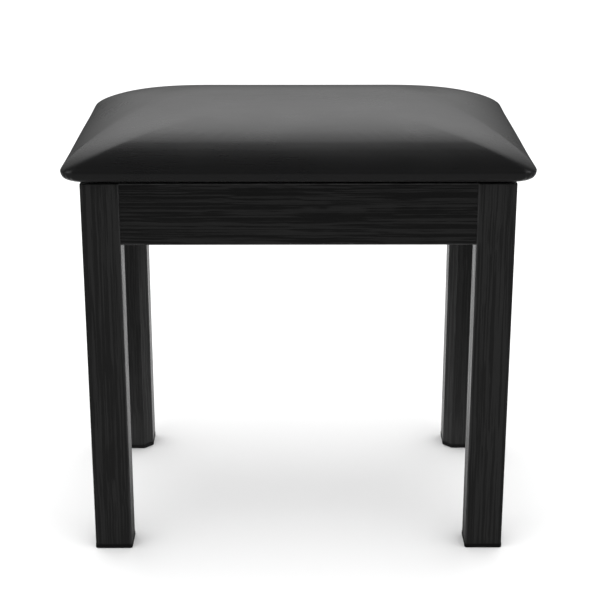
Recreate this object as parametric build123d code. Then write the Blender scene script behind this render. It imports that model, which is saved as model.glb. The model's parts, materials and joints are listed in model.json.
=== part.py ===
from build123d import *
import os
from math import cos, radians, sin, sqrt, tan

# Piano bench with a padded lift-up seat over a shallow music compartment.
# Millimetres. Origin on the floor under the middle of the frame; +X is to the right of someone who
# faces the front, the front is towards -Y, and +Z is up.

# Driving dimensions: frame
FRAME_WIDTH = 470
FRAME_DEPTH = 305
LEG_SIDE = 42
LEG_TOP = 439
LEG_CHAMFER = 10.5
LEG_ARRIS = 2
LEG_TOP_EASE = 0.8
GLIDE_HEIGHT = 5
GLIDE_PROUD = 0.4
GLIDE_ARRIS = 2.8
GLIDE_EASE = 0.8
GLIDE_SCREW_RECESS = 1
APRON_THICKNESS = 18
APRON_HEIGHT = 69.5
APRON_SETBACK = 1.5
APRON_ARRIS = 1

# Driving dimensions: seat
SEAT_WIDTH = 510
SEAT_DEPTH = 332
SEAT_GAP = 4
SEAT_TOP = 503
SEAT_CORNER = 17
SEAT_CORNER_GROWTH = 0.35
SEAT_CORNER_LIMIT = 0.45
CURL_INSET = 8
CURL_HEIGHT = 11
CURL_STEPS = 3
CROWN_REACH = 150
CROWN_POWER = 1.35
CROWN_STEPS = 9
COVER_THICKNESS = 1
COVER_MARGIN = 30
BOARD_THICKNESS = 12
BOARD_WIDTH = 490
BOARD_DEPTH = 312
BOARD_CORNER = 17
CLOTH_WIDTH = 450
CLOTH_DEPTH = 264
CLOTH_THICKNESS = 0.5

# Driving dimensions: joinery and compartment
DOWEL_RADIUS = 4
DOWEL_DEPTH = 18
DOWEL_EDGE = 17
FLOOR_THICKNESS = 3
FLOOR_HEIGHT = 9
FLOOR_GROOVE = 5
FLOOR_PLAY = 0.5
BRACKET_THICKNESS = 2.5
BRACKET_HEIGHT = 50
BRACKET_FLANGE = 20
BRACKET_BOTTOM = 385
BRACKET_SCREW_SETBACK = 12
BRACKET_SCREW_SPACING = 30
BOLT_RADIUS = 3
BOLT_IN_LEG = 28
BOLT_STICK_OUT = 12
WASHER_RADIUS = 8
WASHER_THICKNESS = 1.6
NUT_ACROSS_FLATS = 10
NUT_HEIGHT = 5
BUMPER_RADIUS = 6
BUMPER_INSET_X = 13
BUMPER_INSET_Y = 11.5
BUMPER_STEM_RADIUS = 2.5
BUMPER_STEM = 8
BUMPER_PLAY = 0.1
BUMPER_EASE = 1

# Driving dimensions: hinges
HINGE_SPACING = 260
HINGE_LENGTH = 50
HINGE_KNUCKLES = 5
KNUCKLE_RADIUS = 2
KNUCKLE_GAP = 0.3
KNUCKLE_CLEARANCE = 0.5
LEAF_THICKNESS = 1.2
LEAF_WIDTH = 17.5
LEAF_SCREW_LINE = 8
LEAF_SCREW_SPACING = 18
PIN_RADIUS = 1
PIN_HEAD_RADIUS = 1.7
PIN_HEAD = 0.8
RUNNING_FIT = 0.05

# Driving dimensions: lid stay, a rhombus of two equal arms closed by the hinge line
STAY_ARM = 105
STAY_WIDTH = 12
STAY_THICKNESS = 2
STAY_LID_DROP = 7.5
STAY_FRAME_DROP = 40
STAY_GAP = 0.3
STAY_RIVET_RADIUS = 2.5
STAY_RIVET_HEAD_RADIUS = 5
STAY_RIVET_HEAD = 0.9
STAY_ELBOW_PLAY = 0.25
STAY_PLATE_LENGTH = 34
STAY_PLATE_HEIGHT = 18
STAY_PLATE_CORNER = 5.4
STAY_PLATE_SCREW_SPACING = 22.4
STAY_FLANGE = 22
STAY_BRACKET_LENGTH = 30
STAY_BRACKET_SCREW_LINE = 10
STAY_BRACKET_SCREW_SPACING = 18

# Fasteners: head diameter, shank diameter, length
GLIDE_SCREW = (8, 4, 22)
BRACKET_SCREW = (7, 3.5, 14)
HINGE_SCREW = (5, 2.6, 11)
STAY_SCREW = (6, 3, 12)
SCREW_TIP_SHARE = 0.25
DRIVE_DEPTH = 1
DRIVE_WIDTH = 0.8
DRIVE_SPAN_SHARE = 0.55
STAPLE_CROWN = 10
STAPLE_WIRE = 0.6
STAPLE_LEG = 6
STAPLE_SPACING = 45
COVER_STAPLE_INSET = 10
CLOTH_STAPLE_INSET = 4

# Derived planes and points
LEG_OUT_X = FRAME_WIDTH / 2
LEG_OUT_Y = FRAME_DEPTH / 2
LEG_IN_X = LEG_OUT_X - LEG_SIDE
LEG_IN_Y = LEG_OUT_Y - LEG_SIDE
APRON_OUT_X = LEG_OUT_X - APRON_SETBACK
APRON_OUT_Y = LEG_OUT_Y - APRON_SETBACK
APRON_IN_X = APRON_OUT_X - APRON_THICKNESS
APRON_IN_Y = APRON_OUT_Y - APRON_THICKNESS
APRON_MID_X = (APRON_OUT_X + APRON_IN_X) / 2
APRON_MID_Y = (APRON_OUT_Y + APRON_IN_Y) / 2
APRON_BOTTOM = LEG_TOP - APRON_HEIGHT
FLOOR_BOTTOM = APRON_BOTTOM + FLOOR_HEIGHT
CHAMFER_SUM = LEG_IN_X + LEG_IN_Y + LEG_CHAMFER
BOLT_X = LEG_IN_X + LEG_CHAMFER / 2
BOLT_Y = LEG_IN_Y + LEG_CHAMFER / 2
BOLT_Z = BRACKET_BOTTOM + BRACKET_HEIGHT / 2
SEAT_BOTTOM = LEG_TOP + SEAT_GAP
BOARD_BOTTOM = SEAT_BOTTOM + COVER_THICKNESS
CLOTH_BOTTOM = SEAT_BOTTOM - CLOTH_THICKNESS
HINGE_Y = APRON_OUT_Y + KNUCKLE_RADIUS + KNUCKLE_CLEARANCE
HINGE_Z = LEG_TOP + SEAT_GAP / 2
LEAF_END_Y = HINGE_Y - KNUCKLE_RADIUS - KNUCKLE_GAP
LEAF_START_Y = LEAF_END_Y - LEAF_WIDTH

# Lid stay pivots in the YZ plane: on the lid, on the frame, and the elbow between the arms
STAY_LID_Y = HINGE_Y - sqrt(STAY_ARM**2 - STAY_LID_DROP**2)
STAY_LID_Z = HINGE_Z - STAY_LID_DROP
STAY_FRAME_Y = HINGE_Y - sqrt(STAY_ARM**2 - STAY_FRAME_DROP**2)
STAY_FRAME_Z = HINGE_Z - STAY_FRAME_DROP
STAY_ELBOW_Y = STAY_LID_Y + STAY_FRAME_Y - HINGE_Y
STAY_ELBOW_Z = STAY_LID_Z + STAY_FRAME_Z - HINGE_Z
STAY_PLATE_X = APRON_IN_X - STAY_THICKNESS
STAY_LOWER_X = STAY_PLATE_X - STAY_GAP - STAY_THICKNESS
STAY_UPPER_X = STAY_LOWER_X - STAY_GAP - STAY_THICKNESS
STAY_LUG_X = STAY_UPPER_X - STAY_GAP - STAY_THICKNESS

CORNERS = {
    "front_left": (-1, -1),
    "front_right": (1, -1),
    "rear_left": (-1, 1),
    "rear_right": (1, 1),
}
APRON_TURN = {"rear": 0, "left": 90, "front": 180, "right": -90}
HINGES = {"left": -HINGE_SPACING / 2, "right": HINGE_SPACING / 2}


def block(low, high):
    """A block between two opposite corners."""
    size = [b - a for a, b in zip(low, high)]
    middle = [(a + b) / 2 for a, b in zip(low, high)]
    return Pos(*middle) * Box(*size)


def rod(start, direction, length, radius):
    """A round bar from a point, along a direction."""
    return extrude(Plane(origin=start, z_dir=direction) * Circle(radius), length)


def at_corner(shape, side_x, side_y):
    """A shape made for the +X +Y corner, mirrored to another corner."""
    if side_x < 0:
        shape = mirror(shape, about=Plane.YZ)
    if side_y < 0:
        shape = mirror(shape, about=Plane.XZ)
    return shape


def group(shapes):
    """Separate solids that share one node."""
    return Compound([solid for shape in shapes for solid in shape.solids()])


# Fasteners


def screw_blank(head_diameter, shank_diameter, length):
    """A countersunk screw with its head flush at z = 0 and its point towards +Z, without its drive."""
    head = (head_diameter - shank_diameter) / 2
    point = shank_diameter
    shank_radius = shank_diameter / 2
    cone = Pos(0, 0, head / 2) * Cone(head_diameter / 2, shank_radius, head)
    shank_length = length - head - point
    shank = Pos(0, 0, head + shank_length / 2) * Cylinder(shank_radius, shank_length)
    tip = Pos(0, 0, length - point / 2) * Cone(shank_radius, shank_radius * SCREW_TIP_SHARE, point)
    return cone + shank + tip


def drive_recess(head_diameter):
    """The cross in a screw's head."""
    arm = head_diameter * DRIVE_SPAN_SHARE
    bar = Box(arm, DRIVE_WIDTH, DRIVE_DEPTH) + Box(DRIVE_WIDTH, arm, DRIVE_DEPTH)
    return Pos(0, 0, DRIVE_DEPTH / 2) * bar


def screw_holes(seats, size):
    """The full outlines of a set of screws, for cutting what they pass through."""
    return [seat.location * screw_blank(*size) for seat in seats]


def screws(seats, size):
    """A set of screws, each with its head on the origin of a plane and driven along its normal."""
    shape = screw_blank(*size) - drive_recess(size[0])
    return group([seat.location * shape for seat in seats])


def staple(x, y, z, along_x):
    """A staple driven upwards, with the top of its crown at z."""
    half = STAPLE_CROWN / 2
    wire = STAPLE_WIRE
    crown = block((-half, -wire / 2, -wire), (half, wire / 2, 0))
    left = block((-half, -wire / 2, 0), (-half + wire, wire / 2, STAPLE_LEG))
    right = block((half - wire, -wire / 2, 0), (half, wire / 2, STAPLE_LEG))
    turned = Rot(0, 0, 0 if along_x else 90) * (crown + left + right)
    return Pos(x, y, z) * turned


def staple_rows(half_x, half_y, z, keep_out=()):
    """Staples round a rectangle, evenly spaced, missing any stretch of the rear side in keep_out."""
    made = []
    for half_length, half_across, along_x in ((half_x, half_y, True), (half_y, half_x, False)):
        count = int(2 * half_length // STAPLE_SPACING)
        for i in range(count):
            s = (i - (count - 1) / 2) * STAPLE_SPACING
            for side in (-1, 1):
                blocked = any(a < s < b for a, b in keep_out) and along_x and side > 0
                if not blocked:
                    x, y = (s, side * half_across) if along_x else (side * half_across, s)
                    made.append(staple(x, y, z, along_x))
    return made


# Positions shared by a fastener and the pieces it passes through


def glide_screw_seats():
    leg_mid_x = LEG_OUT_X - LEG_SIDE / 2
    leg_mid_y = LEG_OUT_Y - LEG_SIDE / 2
    z = GLIDE_SCREW_RECESS
    return [Plane(origin=(sx * leg_mid_x, sy * leg_mid_y, z)) for sx, sy in CORNERS.values()]


def bracket_screw_seats(side_x, side_y):
    """Four screws in one corner bracket, two through each flange into the apron behind it."""
    along_x = CHAMFER_SUM - APRON_IN_Y - BRACKET_SCREW_SETBACK
    along_y = CHAMFER_SUM - APRON_IN_X - BRACKET_SCREW_SETBACK
    face_x = APRON_IN_X - BRACKET_THICKNESS
    face_y = APRON_IN_Y - BRACKET_THICKNESS
    seats = []
    for z in (BOLT_Z - BRACKET_SCREW_SPACING / 2, BOLT_Z + BRACKET_SCREW_SPACING / 2):
        seats.append(Plane(origin=(side_x * along_x, side_y * face_y, z), z_dir=(0, side_y, 0)))
        seats.append(Plane(origin=(side_x * face_x, side_y * along_y, z), z_dir=(side_x, 0, 0)))
    return seats


def hinge_screw_seats(centre_x, z, up):
    """Three screws in one hinge leaf."""
    y = LEAF_START_Y + LEAF_SCREW_LINE
    offsets = (-LEAF_SCREW_SPACING, 0, LEAF_SCREW_SPACING)
    return [Plane(origin=(centre_x + dx, y, z), z_dir=(0, 0, up)) for dx in offsets]


def stay_plate_seats():
    """Two screws that hold the stay's frame plate to the right apron, either side of the pivot."""
    offset = STAY_PLATE_SCREW_SPACING / 2
    return [
        Plane(origin=(STAY_PLATE_X, STAY_FRAME_Y + dy, STAY_FRAME_Z), z_dir=(1, 0, 0))
        for dy in (-offset, offset)
    ]


def stay_bracket_seats():
    """Two screws that hold the stay's lid bracket up to the seat board."""
    offset = STAY_BRACKET_SCREW_SPACING / 2
    x = STAY_LUG_X - STAY_BRACKET_SCREW_LINE
    z = CLOTH_BOTTOM - STAY_THICKNESS
    return [Plane(origin=(x, STAY_LID_Y + dy, z)) for dy in (-offset, offset)]


ALL_BRACKET_SEATS = [seat for corner in CORNERS.values() for seat in bracket_screw_seats(*corner)]
ALL_HINGE_X = list(HINGES.values())
FRAME_LEAF_SEATS = [
    seat for x in ALL_HINGE_X for seat in hinge_screw_seats(x, LEG_TOP + LEAF_THICKNESS, -1)
]
LID_LEAF_SEATS = [
    seat for x in ALL_HINGE_X for seat in hinge_screw_seats(x, SEAT_BOTTOM - LEAF_THICKNESS, 1)
]


# Frame


def dowels():
    """Two dowels in each end of each apron, half in the apron and half in the leg."""
    made = []
    for side_x, side_y in CORNERS.values():
        for z in (APRON_BOTTOM + DOWEL_EDGE, LEG_TOP - DOWEL_EDGE):
            start_x = (side_x * (LEG_IN_X - DOWEL_DEPTH), side_y * APRON_MID_Y, z)
            start_y = (side_x * APRON_MID_X, side_y * (LEG_IN_Y - DOWEL_DEPTH), z)
            made.append(rod(start_x, (side_x, 0, 0), 2 * DOWEL_DEPTH, DOWEL_RADIUS))
            made.append(rod(start_y, (0, side_y, 0), 2 * DOWEL_DEPTH, DOWEL_RADIUS))
    return made


def corner_bolt():
    """A bolt into the +X +Y leg, through the middle of its chamfer, with a free end for the nut."""
    step = BOLT_IN_LEG / sqrt(2)
    start = (BOLT_X + step, BOLT_Y + step, BOLT_Z)
    return rod(start, (-1, -1, 0), BOLT_IN_LEG + BOLT_STICK_OUT, BOLT_RADIUS)


def inward(distance):
    """A plane square to the +X +Y corner bolt, some distance inside the chamfer."""
    step = distance / sqrt(2)
    return Plane(origin=(BOLT_X - step, BOLT_Y - step, BOLT_Z), x_dir=(0, 0, 1), z_dir=(-1, -1, 0))


def corner_washer():
    ring = Circle(WASHER_RADIUS) - Circle(BOLT_RADIUS)
    return extrude(inward(BRACKET_THICKNESS) * ring, WASHER_THICKNESS)


def corner_nut():
    across_corners = NUT_ACROSS_FLATS / cos(radians(30))
    outline = RegularPolygon(across_corners / 2, 6) - Circle(BOLT_RADIUS)
    return extrude(inward(BRACKET_THICKNESS + WASHER_THICKNESS) * outline, NUT_HEIGHT)


def corner_bracket():
    """A bent steel plate across the +X +Y corner, lying on the leg's chamfer and both aprons."""
    bend = BRACKET_THICKNESS * tan(radians(22.5))
    meet_x = CHAMFER_SUM - APRON_IN_Y
    meet_y = CHAMFER_SUM - APRON_IN_X
    inner_x = APRON_IN_X - BRACKET_THICKNESS
    inner_y = APRON_IN_Y - BRACKET_THICKNESS
    outline = Polyline(
        (meet_x - BRACKET_FLANGE, APRON_IN_Y),
        (meet_x, APRON_IN_Y),
        (APRON_IN_X, meet_y),
        (APRON_IN_X, meet_y - BRACKET_FLANGE),
        (inner_x, meet_y - BRACKET_FLANGE),
        (inner_x, meet_y - bend),
        (meet_x - bend, inner_y),
        (meet_x - BRACKET_FLANGE, inner_y),
        close=True,
    )
    plate = Pos(0, 0, BRACKET_BOTTOM) * extrude(make_face(outline), BRACKET_HEIGHT)
    return plate - corner_bolt()


def bumper():
    """A rubber button with a stem, on top of the +X +Y leg."""
    x = LEG_OUT_X - BUMPER_INSET_X
    y = LEG_OUT_Y - BUMPER_INSET_Y
    button = rod((x, y, LEG_TOP), (0, 0, 1), SEAT_GAP - BUMPER_PLAY, BUMPER_RADIUS)
    top = button.edges().sort_by(Axis.Z)[-1]
    stem = rod((x, y, LEG_TOP), (0, 0, -1), BUMPER_STEM, BUMPER_STEM_RADIUS)
    return fillet(top, BUMPER_EASE) + stem


def from_inner_corner(item):
    """How far an item's middle lies out from the frame's centre, along both axes together."""
    return item.center().X + item.center().Y


def leg_column(bottom, top, proud, arris):
    """A square post at the +X +Y corner: inner corner cut at 45 degrees, outer arrises rounded."""
    low = (LEG_IN_X - proud, LEG_IN_Y - proud, bottom)
    post = block(low, (LEG_OUT_X + proud, LEG_OUT_Y + proud, top))
    inner = post.edges().filter_by(Axis.Z).sort_by(from_inner_corner)[0]
    post = chamfer(inner, LEG_CHAMFER)
    outer = post.edges().filter_by(Axis.Z).sort_by(from_inner_corner)[-3:]
    return fillet(outer, arris)


def leg(side_x, side_y):
    """A leg, with its top rim eased and everything that enters it cut out."""
    post = leg_column(GLIDE_HEIGHT, LEG_TOP, 0, LEG_ARRIS)
    post = chamfer(post.faces().sort_by(Axis.Z)[-1].edges(), LEG_TOP_EASE)
    post -= [corner_bolt(), bumper()]
    placed = at_corner(post, side_x, side_y)
    return placed - dowels() - screw_holes(glide_screw_seats(), GLIDE_SCREW)


def foot_glide(side_x, side_y):
    """A plastic pad with the leg's own outline, a little wider, and its screw head let in below."""
    pad = leg_column(0, GLIDE_HEIGHT, GLIDE_PROUD, GLIDE_ARRIS)
    pad = chamfer(pad.faces().sort_by(Axis.Z)[0].edges(), GLIDE_EASE)
    middle = Pos(LEG_OUT_X - LEG_SIDE / 2, LEG_OUT_Y - LEG_SIDE / 2, GLIDE_SCREW_RECESS / 2)
    pad -= middle * Cylinder(GLIDE_SCREW[0] / 2, GLIDE_SCREW_RECESS)
    return at_corner(pad, side_x, side_y) - screw_holes(glide_screw_seats(), GLIDE_SCREW)


def apron(half_length, out, side):
    """A rail on edge between two legs, grooved inside for the compartment floor."""
    inside = out - APRON_THICKNESS
    rail = block((-half_length, inside, APRON_BOTTOM), (half_length, out, LEG_TOP))
    long_edges = rail.edges().filter_by(Axis.X)
    rail = fillet(long_edges.sort_by(Axis.Y)[-2:], APRON_ARRIS)
    groove_low = (-half_length, inside, FLOOR_BOTTOM)
    groove_high = (half_length, inside + FLOOR_GROOVE, FLOOR_BOTTOM + FLOOR_THICKNESS)
    rail -= block(groove_low, groove_high)
    placed = Rot(0, 0, APRON_TURN[side]) * rail
    placed -= dowels()
    return placed - screw_holes(ALL_BRACKET_SEATS, BRACKET_SCREW)


def compartment_floor():
    """A thin panel held in the aprons' grooves, with its corners cut to pass the legs."""
    half_x = APRON_IN_X + FLOOR_GROOVE - FLOOR_PLAY
    half_y = APRON_IN_Y + FLOOR_GROOVE - FLOOR_PLAY
    cut = half_x + half_y - (CHAMFER_SUM - 2 * FLOOR_PLAY)
    low = (-half_x, -half_y, FLOOR_BOTTOM)
    panel = block(low, (half_x, half_y, FLOOR_BOTTOM + FLOOR_THICKNESS))
    return chamfer(panel.edges().filter_by(Axis.Z), cut)


# Seat


def seat_outline(inset):
    """The seat's rounded rectangle, drawn in by an inset on every side, with rounder corners inwards."""
    width = SEAT_WIDTH - 2 * inset
    depth = SEAT_DEPTH - 2 * inset
    corner = min(SEAT_CORNER + SEAT_CORNER_GROWTH * inset, SEAT_CORNER_LIMIT * depth)
    return RectangleRounded(width, depth, corner)


def seat_form(skin):
    """The seat's crowned outside, or its inside at a depth of skin below the surface.

    The lower edge curls in by a quarter ellipse. Above the widest line one long curve rises to the
    crown, which is level only along its middle.
    """
    widest = SEAT_BOTTOM + CURL_HEIGHT
    rise = SEAT_TOP - skin - widest
    stations = []
    for step in range(CURL_STEPS):
        angle = radians(90 * step / CURL_STEPS)
        stations.append((CURL_INSET * (1 - sin(angle)), widest - CURL_HEIGHT * cos(angle) + skin))
    for step in range(CROWN_STEPS + 1):
        angle = radians(90 * step / CROWN_STEPS)
        stations.append((CROWN_REACH * (1 - cos(angle)), widest + rise * sin(angle) ** CROWN_POWER))
    sections = [Pos(0, 0, z) * seat_outline(inset + skin) for inset, z in stations]
    return loft(sections, ruled=True)


def board_blank():
    """The board's outside, before anything is let into it."""
    outline = RectangleRounded(BOARD_WIDTH, BOARD_DEPTH, BOARD_CORNER)
    return Pos(0, 0, BOARD_BOTTOM) * extrude(outline, BOARD_THICKNESS)


def seat_board():
    """The plywood board inside the seat, with every screw and staple let in from below."""
    board = board_blank() - screw_holes(LID_LEAF_SEATS, HINGE_SCREW)
    board -= screw_holes(stay_bracket_seats(), STAY_SCREW)
    return board - staple_sets()


def staple_sets():
    """All staples in the underside: those of the cover, and those of the dust cloth inside them."""
    return cover_staples() + cloth_staples()


def cover_staples():
    """Staples through the cover's margin, missing where the hinge leaves lie."""
    half_x = BOARD_WIDTH / 2 - COVER_STAPLE_INSET
    half_y = BOARD_DEPTH / 2 - COVER_STAPLE_INSET
    margin = HINGE_LENGTH / 2 + STAPLE_CROWN
    keep_out = [(x - margin, x + margin) for x in ALL_HINGE_X]
    return staple_rows(half_x, half_y, SEAT_BOTTOM, keep_out)


def cloth_staples():
    """Staples through the dust cloth's edge."""
    half_x = CLOTH_WIDTH / 2 - CLOTH_STAPLE_INSET
    half_y = CLOTH_DEPTH / 2 - CLOTH_STAPLE_INSET
    return staple_rows(half_x, half_y, CLOTH_BOTTOM)


def foam_pad():
    """Foam over the top and round the sides of the board."""
    return seat_form(COVER_THICKNESS) - board_blank()


def seat_cover():
    """The vinyl skin: over the foam, round the edge and a margin's width under the board."""
    skin = seat_form(0) - seat_form(COVER_THICKNESS)
    opening = seat_outline(CURL_INSET + COVER_MARGIN)
    skin -= Pos(0, 0, SEAT_BOTTOM) * extrude(opening, COVER_THICKNESS)
    skin -= screw_holes(LID_LEAF_SEATS, HINGE_SCREW)
    return skin - staple_sets()


def dust_cloth():
    """The cloth that closes the underside, inside the cover's margin."""
    sheet = extrude(Rectangle(CLOTH_WIDTH, CLOTH_DEPTH), CLOTH_THICKNESS)
    sheet = Pos(0, 0, CLOTH_BOTTOM) * sheet
    return sheet - cloth_staples() - screw_holes(stay_bracket_seats(), STAY_SCREW)


# Hinges


def knuckle_span(centre_x, index):
    """Where one knuckle starts and how long it is, along the pin."""
    pitch = (HINGE_LENGTH + KNUCKLE_GAP) / HINGE_KNUCKLES
    return centre_x - HINGE_LENGTH / 2 + index * pitch, pitch - KNUCKLE_GAP


def hinge_leaf(centre_x, on_lid):
    """One leaf of a butt hinge: a plate, and every second knuckle round the pin."""
    low = SEAT_BOTTOM - LEAF_THICKNESS if on_lid else LEG_TOP
    high = low + LEAF_THICKNESS
    half = HINGE_LENGTH / 2
    leaf = block((centre_x - half, LEAF_START_Y, low), (centre_x + half, LEAF_END_Y, high))
    for index in range(1 if on_lid else 0, HINGE_KNUCKLES, 2):
        start, length = knuckle_span(centre_x, index)
        leaf += block((start, LEAF_END_Y, low), (start + length, HINGE_Y, high))
        leaf += rod((start, HINGE_Y, HINGE_Z), (1, 0, 0), length, KNUCKLE_RADIUS)
    bore = PIN_RADIUS + (RUNNING_FIT if on_lid else 0)
    leaf -= rod((centre_x - half, HINGE_Y, HINGE_Z), (1, 0, 0), HINGE_LENGTH, bore)
    return leaf - screw_holes(LID_LEAF_SEATS if on_lid else FRAME_LEAF_SEATS, HINGE_SCREW)


def hinge_pin(centre_x):
    """A pin through all the knuckles, with a flat head at each end."""
    half = HINGE_LENGTH / 2
    start = (centre_x - half, HINGE_Y, HINGE_Z)
    end = (centre_x + half, HINGE_Y, HINGE_Z)
    pin = rod(start, (1, 0, 0), HINGE_LENGTH, PIN_RADIUS)
    pin += rod(start, (-1, 0, 0), PIN_HEAD, PIN_HEAD_RADIUS)
    return pin + rod(end, (1, 0, 0), PIN_HEAD, PIN_HEAD_RADIUS)


# Lid stay


def stay_arm(x, start, end, start_hole, end_hole):
    """A flat bar with round ends between two pivots in the YZ plane."""
    middle = ((start[0] + end[0]) / 2, (start[1] + end[1]) / 2)
    along = (0, end[0] - start[0], end[1] - start[1])
    bar = SlotCenterToCenter(STAY_ARM, STAY_WIDTH)
    bar -= Pos(-STAY_ARM / 2, 0) * Circle(start_hole)
    bar -= Pos(STAY_ARM / 2, 0) * Circle(end_hole)
    plane = Plane(origin=(x, *middle), x_dir=along, z_dir=(1, 0, 0))
    return extrude(plane * bar, STAY_THICKNESS)


def stay_lower_arm():
    pivot = (STAY_FRAME_Y, STAY_FRAME_Z)
    elbow = (STAY_ELBOW_Y, STAY_ELBOW_Z)
    hole = STAY_RIVET_RADIUS + RUNNING_FIT
    return stay_arm(STAY_LOWER_X, pivot, elbow, hole, STAY_RIVET_RADIUS)


def stay_upper_arm():
    pivot = (STAY_LID_Y, STAY_LID_Z)
    elbow = (STAY_ELBOW_Y, STAY_ELBOW_Z)
    hole = STAY_RIVET_RADIUS + RUNNING_FIT
    return stay_arm(STAY_UPPER_X, pivot, elbow, hole, STAY_RIVET_RADIUS + STAY_ELBOW_PLAY)


def rivet(y, z, low_x, high_x, low_head, high_head):
    """A rivet along X, with a head at either end or flush there."""
    shape = rod((low_x, y, z), (1, 0, 0), high_x - low_x, STAY_RIVET_RADIUS)
    if low_head:
        shape += rod((low_x, y, z), (-1, 0, 0), STAY_RIVET_HEAD, STAY_RIVET_HEAD_RADIUS)
    if high_head:
        shape += rod((high_x, y, z), (1, 0, 0), STAY_RIVET_HEAD, STAY_RIVET_HEAD_RADIUS)
    return shape


def stay_frame_rivet():
    """Held in the frame plate; the lower arm turns on it."""
    return rivet(STAY_FRAME_Y, STAY_FRAME_Z, STAY_LOWER_X - STAY_GAP, APRON_IN_X, True, False)


def stay_lid_rivet():
    """Held in the lid bracket's lug; the upper arm turns on it."""
    end = STAY_UPPER_X + STAY_THICKNESS + STAY_GAP
    return rivet(STAY_LID_Y, STAY_LID_Z, STAY_LUG_X, end, False, True)


def stay_elbow_rivet():
    """Held in the lower arm; the upper arm turns on it with some play."""
    start = STAY_UPPER_X - STAY_GAP
    end = STAY_LOWER_X + STAY_THICKNESS
    return rivet(STAY_ELBOW_Y, STAY_ELBOW_Z, start, end, True, True)


def stay_frame_plate():
    """A small plate on the right apron that carries the lower arm's rivet."""
    outline = RectangleRounded(STAY_PLATE_LENGTH, STAY_PLATE_HEIGHT, STAY_PLATE_CORNER)
    origin = (STAY_PLATE_X, STAY_FRAME_Y, STAY_FRAME_Z)
    plane = Plane(origin=origin, x_dir=(0, 1, 0), z_dir=(1, 0, 0))
    plate = extrude(plane * outline, STAY_THICKNESS)
    return plate - stay_frame_rivet() - screw_holes(stay_plate_seats(), STAY_SCREW)


def stay_lid_bracket():
    """An angle under the board: a flange with two screws, and a lug down to the upper arm's rivet."""
    half = STAY_BRACKET_LENGTH / 2
    lug_half = STAY_WIDTH / 2
    top = CLOTH_BOTTOM
    outside = STAY_LUG_X + STAY_THICKNESS
    flange_low = (outside - STAY_FLANGE, STAY_LID_Y - half, top - STAY_THICKNESS)
    bracket = block(flange_low, (outside, STAY_LID_Y + half, top))
    lug_low = (STAY_LUG_X, STAY_LID_Y - lug_half, STAY_LID_Z)
    bracket += block(lug_low, (outside, STAY_LID_Y + lug_half, top))
    bracket += rod((STAY_LUG_X, STAY_LID_Y, STAY_LID_Z), (1, 0, 0), STAY_THICKNESS, lug_half)
    return bracket - stay_lid_rivet() - screw_holes(stay_bracket_seats(), STAY_SCREW)


def all_nodes():
    """Every piece of the bench, by name."""
    nodes = {}
    for corner, (side_x, side_y) in CORNERS.items():
        nodes[f"leg_{corner}"] = leg(side_x, side_y)
        nodes[f"foot_glide_{corner}"] = foot_glide(side_x, side_y)
        nodes[f"corner_bracket_{corner}"] = at_corner(corner_bracket(), side_x, side_y) - screw_holes(
            bracket_screw_seats(side_x, side_y), BRACKET_SCREW
        )
        nodes[f"rubber_bumper_{corner}"] = at_corner(bumper(), side_x, side_y)
    for name in ("front", "rear"):
        nodes[f"apron_{name}"] = apron(LEG_IN_X, APRON_OUT_Y, name)
    for name in ("left", "right"):
        nodes[f"apron_{name}"] = apron(LEG_IN_Y, APRON_OUT_X, name)
    nodes["apron_rear"] -= screw_holes(FRAME_LEAF_SEATS, HINGE_SCREW)
    nodes["apron_right"] -= screw_holes(stay_plate_seats(), STAY_SCREW)
    corners = CORNERS.values()
    nodes["dowels"] = group(dowels())
    nodes["corner_bolts"] = group([at_corner(corner_bolt(), *corner) for corner in corners])
    nodes["corner_washers"] = group([at_corner(corner_washer(), *corner) for corner in corners])
    nodes["corner_nuts"] = group([at_corner(corner_nut(), *corner) for corner in corners])
    nodes["bracket_screws"] = screws(ALL_BRACKET_SEATS, BRACKET_SCREW)
    nodes["glide_screws"] = screws(glide_screw_seats(), GLIDE_SCREW)
    nodes["compartment_floor"] = compartment_floor()
    nodes["seat_board"] = seat_board()
    nodes["foam_pad"] = foam_pad()
    nodes["seat_cover"] = seat_cover()
    nodes["cover_staples"] = group(cover_staples())
    nodes["dust_cloth"] = dust_cloth()
    nodes["cloth_staples"] = group(cloth_staples())
    for side, x in HINGES.items():
        nodes[f"hinge_frame_leaf_{side}"] = hinge_leaf(x, False)
        nodes[f"hinge_lid_leaf_{side}"] = hinge_leaf(x, True)
        nodes[f"hinge_pin_{side}"] = hinge_pin(x)
    nodes["hinge_frame_screws"] = screws(FRAME_LEAF_SEATS, HINGE_SCREW)
    nodes["hinge_lid_screws"] = screws(LID_LEAF_SEATS, HINGE_SCREW)
    nodes["stay_frame_plate"] = stay_frame_plate()
    nodes["stay_frame_screws"] = screws(stay_plate_seats(), STAY_SCREW)
    nodes["stay_frame_rivet"] = stay_frame_rivet()
    nodes["stay_lower_arm"] = stay_lower_arm()
    nodes["stay_elbow_rivet"] = stay_elbow_rivet()
    nodes["stay_upper_arm"] = stay_upper_arm()
    nodes["stay_lid_rivet"] = stay_lid_rivet()
    nodes["stay_lid_bracket"] = stay_lid_bracket()
    nodes["stay_lid_screws"] = screws(stay_bracket_seats(), STAY_SCREW)
    return nodes


os.makedirs("parts", exist_ok=True)
for node_name, node_shape in all_nodes().items():
    export_step(node_shape, f"parts/{node_name}.step")
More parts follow.
